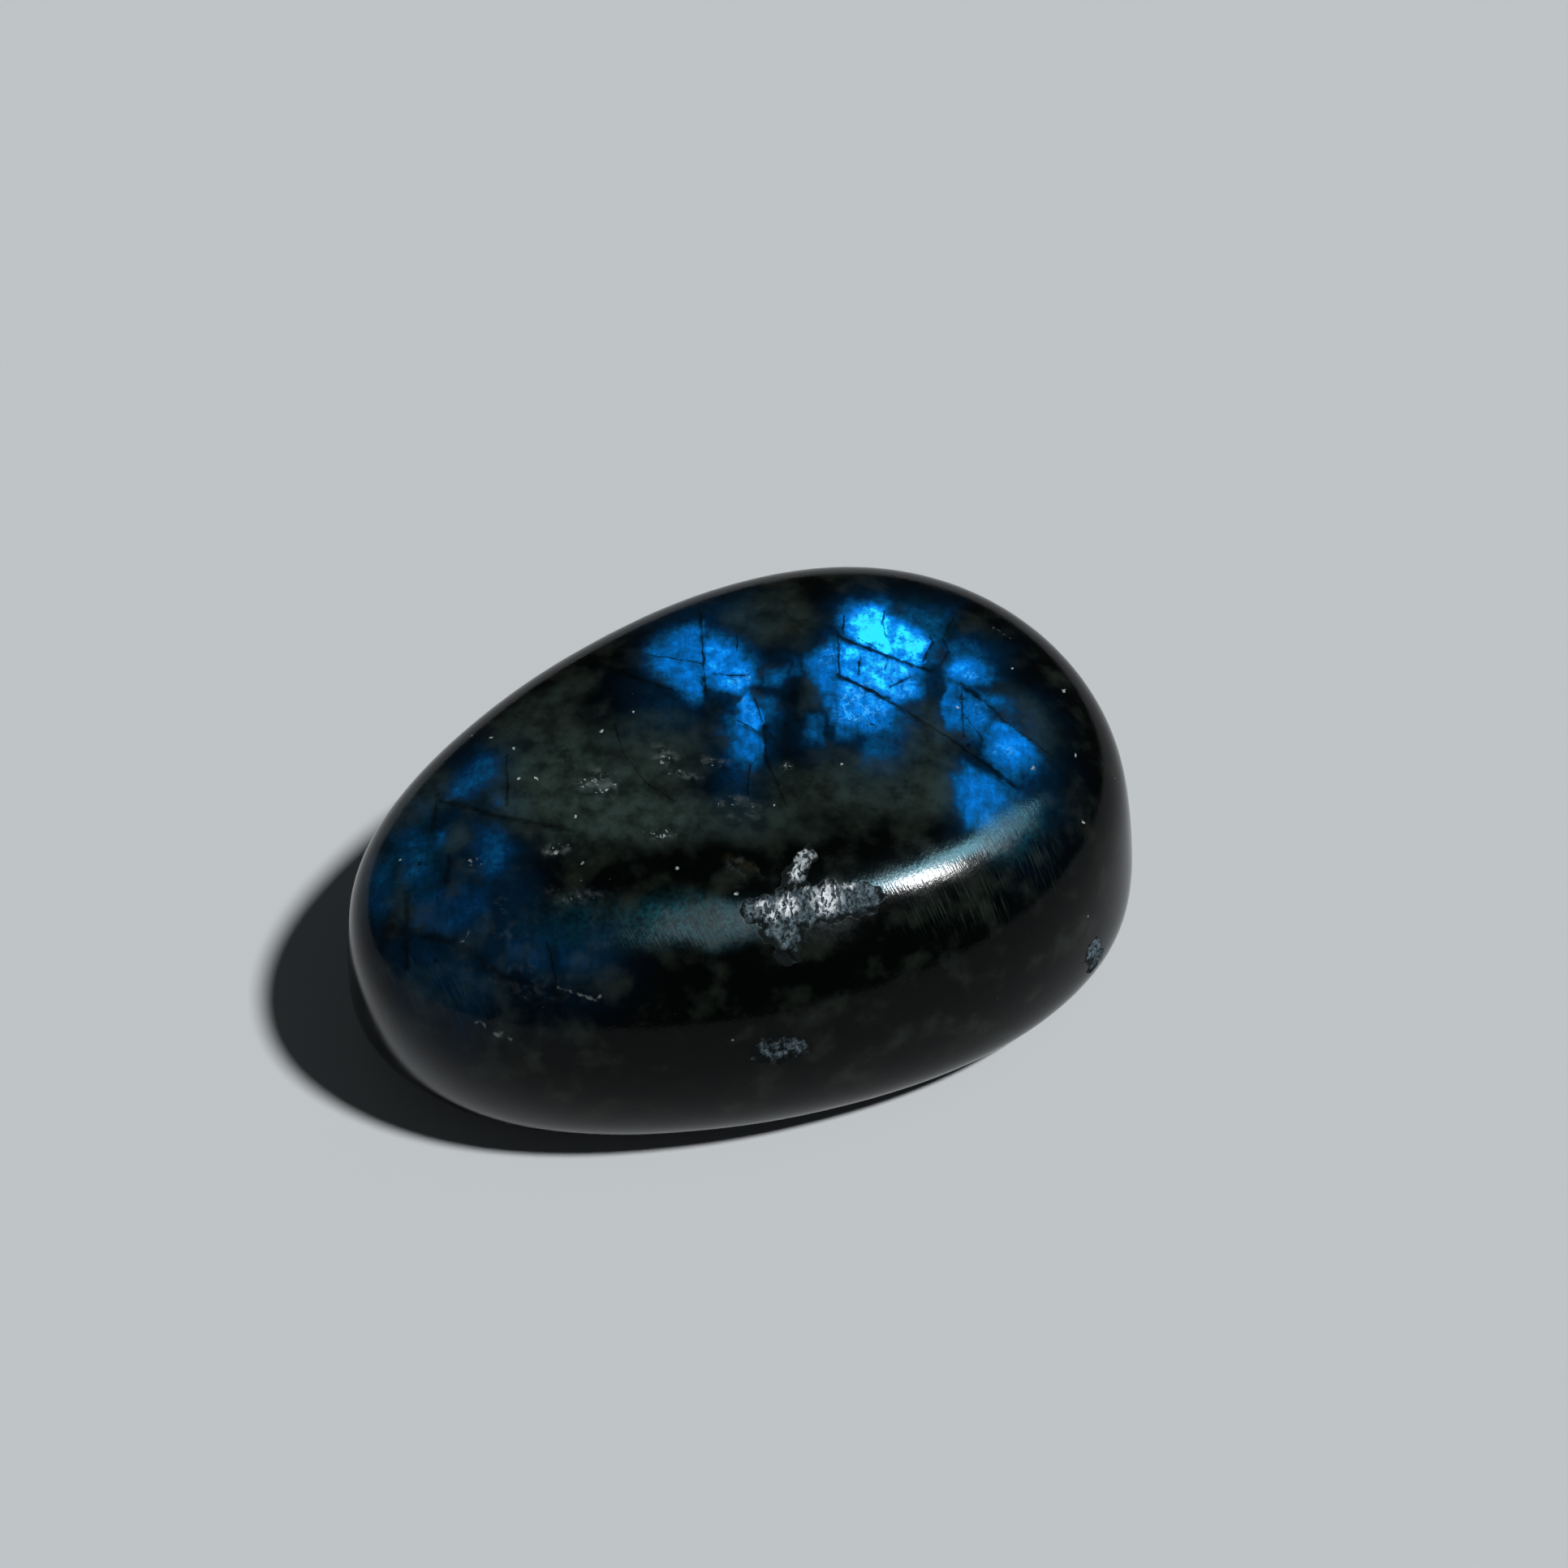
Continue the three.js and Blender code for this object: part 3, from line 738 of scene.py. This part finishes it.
class Nodes:
    """Short calls that add nodes to one material and link them."""

    def __init__(self, tree):
        self.tree = tree

    def put(self, socket, value):
        if isinstance(value, bpy.types.NodeSocket):
            self.tree.links.new(value, socket)
        else:
            socket.default_value = value

    def add(self, kind, inputs, **settings):
        node = self.tree.nodes.new(kind)
        for name, value in settings.items():
            setattr(node, name, value)
        for key, value in inputs.items():
            self.put(node.inputs[key], value)
        return node

    def mark(self, name):
        """One of the stone's soft markings."""
        return self.add("ShaderNodeAttribute", {}, attribute_name=name).outputs["Fac"]

    def math(self, operation, *values):
        return self.add("ShaderNodeMath", dict(enumerate(values)), operation=operation).outputs[0]

    def times(self, *values):
        product = values[0]
        for value in values[1:]:
            product = self.math("MULTIPLY", product, value)
        return product

    def lowest(self, values):
        least = values[0]
        for value in values[1:]:
            least = self.math("MINIMUM", least, value)
        return least

    def dimming(self, value, share):
        """A factor that falls from 1 by a share of a value."""
        return self.math("SUBTRACT", 1.0, self.times(value, share))

    def vector(self, operation, *values, output="Vector"):
        node = self.add("ShaderNodeVectorMath", dict(enumerate(values)), operation=operation)
        return node.outputs[output]

    def scaled(self, vector, factor):
        node = self.add("ShaderNodeVectorMath", {0: vector, "Scale": factor}, operation="SCALE")
        return node.outputs["Vector"]

    def noise(self, place, texture, output="Fac"):
        inputs = {
            "Vector": place,
            "Scale": texture.rate,
            "Detail": texture.layers,
            "Distortion": texture.bend,
            "Roughness": texture.rough,
        }
        return self.add("ShaderNodeTexNoise", inputs).outputs[output]

    def step(self, value, low, high, bottom=0.0, top=1.0):
        """A smooth rise between two levels."""
        inputs = {"Value": value, "From Min": low, "From Max": high, "To Min": bottom, "To Max": top}
        return self.add("ShaderNodeMapRange", inputs, interpolation_type="SMOOTHSTEP").outputs[0]

    def texture(self, place, texture):
        """Noise that rises between its texture's two levels."""
        noise_level = self.noise(place, texture)
        return self.step(noise_level, texture.low, texture.high, texture.bottom, texture.top)

    def swayed(self, place, sway):
        """A place moved about by noise, so that straight edges turn natural."""
        drift = self.noise(place, Texture(sway.rate, SWAY_LAYERS), output="Color")
        shift = self.vector("SUBTRACT", drift, (NOISE_MIDDLE, NOISE_MIDDLE, NOISE_MIDDLE))
        return self.vector("ADD", place, self.scaled(shift, sway.size))

    def mix(self, share, first, second, blend="MIX"):
        """Two colours mixed."""
        inputs = {0: share, 6: first, 7: second}
        return self.add("ShaderNodeMix", inputs, data_type="RGBA", blend_type=blend).outputs[2]

    def blend(self, share, first, second):
        """Two values mixed."""
        return self.add("ShaderNodeMix", {0: share, 2: first, 3: second}).outputs[0]

    def ramp(self, value, stops):
        """A colour chosen by a value."""
        node = self.add("ShaderNodeValToRGB", {0: value})
        elements = node.color_ramp.elements
        while len(elements) < len(stops):
            elements.new(1.0)
        for element, (position, colour) in zip(elements, stops):
            element.position = position
            element.color = (*colour, 1.0)
        return node.outputs[0]


def stone_places(nodes):
    """Places in the stone, in millimetres: in the solid, seen from above, and drawn out along scratches."""
    solid = nodes.add("ShaderNodeMapping", {
        "Vector": nodes.add("ShaderNodeTexCoord", {}).outputs["Object"],
        "Rotation": (0.0, 0.0, math.radians(VIEW_TURN)),
        "Scale": (1 / MM, 1 / MM, 1 / MM),
    }).outputs[0]
    plan = nodes.vector("MULTIPLY", solid, (1.0, 1.0, 0.0))
    brushed = nodes.add("ShaderNodeMapping", {
        "Vector": plan,
        "Rotation": (0.0, 0.0, math.radians(SCRATCH_TURN)),
        "Scale": SCRATCH_SIZE,
    }, vector_type="TEXTURE").outputs[0]
    return solid, plan, brushed


def run_distance(nodes, place, points):
    """How far a place lies from a run of points."""
    gaps = []
    for start, end in zip(points, points[1:]):
        length = math.dist(start, end)
        way = ((end[0] - start[0]) / length, (end[1] - start[1]) / length, 0.0)
        offset = nodes.vector("SUBTRACT", place, (*start, 0.0))
        along = nodes.vector("DOT_PRODUCT", offset, way, output="Value")
        along = nodes.add("ShaderNodeClamp", {"Value": along, "Min": 0.0, "Max": length}).outputs[0]
        gaps.append(nodes.vector("DISTANCE", offset, nodes.scaled(way, along), output="Value"))
    return nodes.lowest(gaps)


def crack_distance(nodes, place, cracks):
    """How far a place lies from the nearest crack, in half widths of the crack."""
    gaps = [nodes.math("DIVIDE", run_distance(nodes, place, crack.points), crack.width) for crack in cracks]
    return nodes.lowest(gaps)


def crack_lines(nodes, plan):
    """Thin dark lines and their dim borders, stronger here and weaker there."""
    place = plan
    for sway in CRACK_SWAYS:
        place = nodes.swayed(place, sway)
    gap = nodes.times(crack_distance(nodes, place, CRACKS), nodes.texture(plan, CRACK_THINNING))
    fading = nodes.texture(plan, CRACK_FADING)
    line = nodes.times(nodes.step(gap, *CRACK_LINE), fading)
    border = nodes.times(nodes.step(gap, *CRACK_BORDER), fading)
    return line, border


def foil_lines(nodes, plan):
    """Fine curling lines, like creased foil."""
    curl = nodes.noise(nodes.swayed(plan, FOIL_SWAY), FOIL_CURL)
    off = nodes.math("ABSOLUTE", nodes.math("SUBTRACT", curl, NOISE_MIDDLE))
    return nodes.times(nodes.step(off, *FOIL_LINE), nodes.texture(plan, FOIL_GAPS))


def flash_glow(nodes, plan, line, border):
    """How brightly the flashes glow: in clouds and streaks, dimmed by creases and cracks."""
    streak_places = nodes.vector("MULTIPLY", nodes.swayed(plan, STREAK_SWAY), STREAK_STRETCH)
    cloud = nodes.times(nodes.texture(plan, FLASH_CLOUD), nodes.texture(streak_places, FLASH_STREAKS))
    glow = nodes.times(nodes.mark("glow"), cloud)
    crease = nodes.times(foil_lines(nodes, nodes.scaled(plan, CREASE_SCALE)), nodes.step(glow, *CREASED_GLOW))
    return nodes.times(
        glow,
        nodes.dimming(crease, CREASE_DIMMING),
        nodes.texture(nodes.swayed(plan, FOIL_SWAY), FLASH_CRINKLE),
        nodes.dimming(line, CRACK_DIMMING),
        nodes.dimming(border, BORDER_DIMMING),
    )


def flash_colour(nodes, plan, glow):
    """Blue to cyan as the glow grows, with pale foil in the bright parts."""
    stops = [(level / FLASH_PEAK, colour) for level, colour in FLASH_COLOURS]
    colour = nodes.ramp(nodes.math("DIVIDE", glow, FLASH_PEAK), stops)
    foil = nodes.times(foil_lines(nodes, plan), nodes.mark("foil"), nodes.step(glow, *FOIL_GLOW))
    return nodes.mix(foil, colour, FOIL_COLOUR)


def body_colour(nodes, solid, brushed, line, glow):
    """The dark body: black to olive, with haze, scratches, cracks, a blue-green tint and stains."""
    cloud = nodes.texture(solid, HAZE_CLOUD)
    scratch = nodes.times(nodes.texture(brushed, SCRATCH_LINES), nodes.mark("scratches"))
    frost = nodes.times(cloud, nodes.texture(solid, TEAL_FROST))
    body = nodes.mix(nodes.texture(solid, BODY_MOTTLE), BODY_BLACK, BODY_OLIVE)
    body = nodes.mix(nodes.times(nodes.mark("haze"), cloud), body, BODY_HAZE)
    body = nodes.mix(scratch, body, BODY_HAZE)
    body = nodes.mix(nodes.times(line, CRACK_BLACKNESS), body, BODY_BLACK)
    body = nodes.mix(nodes.step(glow, *BLACK_UNDER_GLOW), body, BODY_BLACK)
    body = nodes.mix(nodes.times(nodes.mark("teal"), frost), body, BODY_TEAL)
    return nodes.mix(nodes.mark("stain"), body, STAIN_COLOUR)


def specks(nodes, solid, kind):
    """Small round specks, in a share of the cells that the stone is divided into."""
    place = nodes.swayed(solid, kind.sway)
    cell = nodes.add("ShaderNodeTexVoronoi", {"Vector": place, "Scale": kind.rate})
    chosen = nodes.math("LESS_THAN", cell.outputs["Color"], kind.share)
    size = kind.size * kind.rate
    return nodes.times(nodes.step(cell.outputs["Distance"], size, SPECK_CORE * size), chosen, kind.strength)


def pale_flecks(nodes, solid, plan):
    """Crumbs and smudges in patches, single flecks, hairlines and dust: the strongest at each place."""
    clusters = nodes.mark("flecks")
    level = nodes.step(clusters, *CRUMB_LEVELS)
    over_level = nodes.math("SUBTRACT", nodes.noise(solid, CRUMBS), level)
    crumbs = nodes.times(nodes.step(over_level, *CRUMB_EDGE), nodes.texture(solid, CRUMB_STRENGTH))
    smudges = nodes.times(nodes.texture(solid, SMUDGES), clusters)
    fleck_place = nodes.swayed(plan, FLECK_SWAY)
    gaps = [nodes.vector("DISTANCE", fleck_place, (*fleck, 0.0), output="Value") for fleck in FLECKS]
    singles = nodes.step(nodes.lowest(gaps), *FLECK_EDGE)
    hairline_gap = crack_distance(nodes, nodes.swayed(plan, HAIRLINE_SWAY), HAIRLINES)
    hairlines = nodes.times(nodes.step(hairline_gap, *HAIRLINE_EDGE), nodes.texture(plan, HAIRLINE_STRENGTH))
    strongest = crumbs
    for kind in (smudges, singles, hairlines, specks(nodes, solid, DUST)):
        strongest = nodes.math("MAXIMUM", strongest, kind)
    return strongest


def grain_colour(nodes, solid):
    """Broken grains: pale splinters with painted glints, dark towards the ragged rim and down the slope in
    painted shade, and stained.
    """
    splinters = nodes.vector("MULTIPLY", nodes.swayed(solid, SHARD_SWAY), SHARD_STRETCH)
    shard = nodes.add("ShaderNodeTexVoronoi", {"Vector": splinters, "Scale": SHARDS_PER_MM}).outputs["Color"]
    tone = nodes.blend(SHARD_SHARE, nodes.noise(solid, GRAIN_NOISE), shard)
    glint = nodes.times(nodes.mark("glint"), nodes.step(shard, *PAINTED_GLINT_SHARDS))
    inner = nodes.math("ADD", nodes.mark("inner"), nodes.texture(solid, FLOOR_RAGGED))
    colour = nodes.mix(glint, nodes.ramp(tone, GRAIN_COLOURS), PAINTED_GLINT_COLOUR)
    # Painted shade: black where the pale floor ends, down the slope and away from the lit side.
    colour = nodes.mix(nodes.step(inner, *FLOOR_EDGE), BODY_BLACK, colour)
    return nodes.mix(nodes.mark("stain"), colour, STAIN_COLOUR)


def stone_roughness(nodes, solid, broken):
    """Smooth polish with dull patches, and rough broken grains."""
    dull = nodes.times(nodes.mark("dull"), nodes.texture(solid, WORN_POLISH))
    polish = nodes.blend(dull, nodes.texture(solid, POLISH), DULL_ROUGHNESS)
    return nodes.blend(nodes.step(broken, *BROKEN_ROUGH_EDGE), polish, GRAIN_ROUGHNESS)


def rippled_normal(nodes, solid, brushed):
    """Fine ripples in the polish."""
    ripple = nodes.blend(BRUSHED_SHARE, nodes.noise(solid, RIPPLES), nodes.noise(brushed, SCRATCH_LINES))
    bump = {"Height": ripple, "Strength": RIPPLE_STRENGTH, "Distance": RIPPLE_HEIGHT * MM}
    return nodes.add("ShaderNodeBump", bump).outputs[0]


def labradorite_material():
    """Painted flashes with a faint painted glow over a dark body, with pale flecks, pin-holes and broken
    grains.
    """
    material = bpy.data.materials.new("labradorite")
    material.use_nodes = True
    material.cycles.emission_sampling = "NONE"
    nodes = Nodes(material.node_tree)
    solid, plan, brushed = stone_places(nodes)
    line, border = crack_lines(nodes, plan)
    glow = flash_glow(nodes, plan, line, border)
    flash = flash_colour(nodes, plan, glow)
    fleck = pale_flecks(nodes, solid, plan)
    broken = nodes.mark("break_out")
    colour = nodes.mix(1.0, body_colour(nodes, solid, brushed, line, glow), flash, blend="ADD")
    colour = nodes.mix(fleck, colour, FLECK_COLOUR)
    colour = nodes.mix(specks(nodes, solid, PIN_HOLES), colour, BODY_BLACK)
    colour = nodes.mix(nodes.step(broken, *BROKEN_COLOUR_EDGE), colour, grain_colour(nodes, solid))
    sockets = material.node_tree.nodes["Principled BSDF"].inputs
    nodes.put(sockets["Base Color"], colour)
    # Painted glow: the flashes give off a faint light of their own.
    nodes.put(sockets["Emission Color"], nodes.mix(fleck, flash, BODY_BLACK))
    nodes.put(sockets["Roughness"], stone_roughness(nodes, solid, broken))
    nodes.put(sockets["Normal"], rippled_normal(nodes, solid, brushed))
    sockets["Emission Strength"].default_value = FLASH_PAINTED_GLOW
    sockets["IOR"].default_value = STONE_IOR
    sockets["Specular IOR Level"].default_value = STONE_MIRROR
    return material


def floor_material():
    """Plain, pale and matt."""
    material = bpy.data.materials.new("floor")
    material.use_nodes = True
    sockets = material.node_tree.nodes["Principled BSDF"].inputs
    sockets["Base Color"].default_value = FLOOR_COLOUR
    sockets["Roughness"].default_value = FLOOR_ROUGHNESS
    sockets["Specular IOR Level"].default_value = 0.0
    return material


def put_in_scene(name, data):
    """A new object in the scene."""
    made = bpy.data.objects.new(name, data)
    bpy.context.scene.collection.objects.link(made)
    return made


def add_stone():
    stone = put_in_scene("labradorite_pebble", stone_mesh())
    stone.data.materials.append(labradorite_material())
    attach(stone, "root")
    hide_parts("stone")


def add_floor():
    side = MM * FLOOR_REACH
    mesh = bpy.data.meshes.new("floor")
    corners = [(-side, -side, 0.0), (side, -side, 0.0), (side, side, 0.0), (-side, side, 0.0)]
    mesh.from_pydata(corners, [], [(0, 1, 2, 3)])
    mesh.materials.append(floor_material())
    floor = put_in_scene("floor", mesh)


def add_room_light():
    world = bpy.data.worlds.new("studio")
    world.use_nodes = True
    world.node_tree.nodes["Background"].inputs["Color"].default_value = ROOM_LIGHT
    bpy.context.scene.world = world


def add_key_light():
    """A key light that the polish doesn't mirror, since the gleams stand in for its reflection."""
    light = bpy.data.lights.new("key", "SUN")
    light.energy = KEY_STRENGTH
    light.angle = math.radians(KEY_WIDTH)
    key = put_in_scene("key", light)
    key.rotation_euler = Vector(outward(*KEY_LIGHT)).to_track_quat("Z", "Y").to_euler()
    key.visible_glossy = False


def add_gleam(gleam):
    """A soft light that is only seen mirrored in the polish."""
    first, last = (Vector(outward(*end)) for end in gleam.ends)
    out = (first + last).normalized()
    along = (last - first).normalized()
    light = bpy.data.lights.new(gleam.name, "AREA")
    light.shape = "ELLIPSE"
    light.size = GLEAM_DISTANCE * MM * (last - first).length
    light.size_y = GLEAM_DISTANCE * MM * math.radians(gleam.width)
    light.energy = gleam.power
    light.color = gleam.colour
    lamp = put_in_scene(gleam.name, light)
    lamp.matrix_world = Matrix((along, out.cross(along), out)).transposed().to_4x4()
    lamp.location = GLEAM_DISTANCE * MM * out
    lamp.visible_diffuse = False
    lamp.visible_camera = False


def add_camera():
    scene = bpy.context.scene
    optics = bpy.data.cameras.new("camera")
    optics.lens = LENS
    optics.sensor_width = SENSOR
    optics.clip_start = MM * NEAREST_SEEN
    camera = put_in_scene("camera", optics)
    back = Vector(outward(FRONT - VIEW_TURN, VIEW_ELEVATION))
    camera.location = MM * (Vector(VIEW_TARGET) + VIEW_DISTANCE * back)
    camera.rotation_euler = back.to_track_quat("Z", "Y").to_euler()
    scene.camera = camera
    scene.view_settings.view_transform = "Standard"


add_camera()
add_floor()
add_room_light()
add_key_light()
for gleam in GLEAMS:
    add_gleam(gleam)
add_stone()
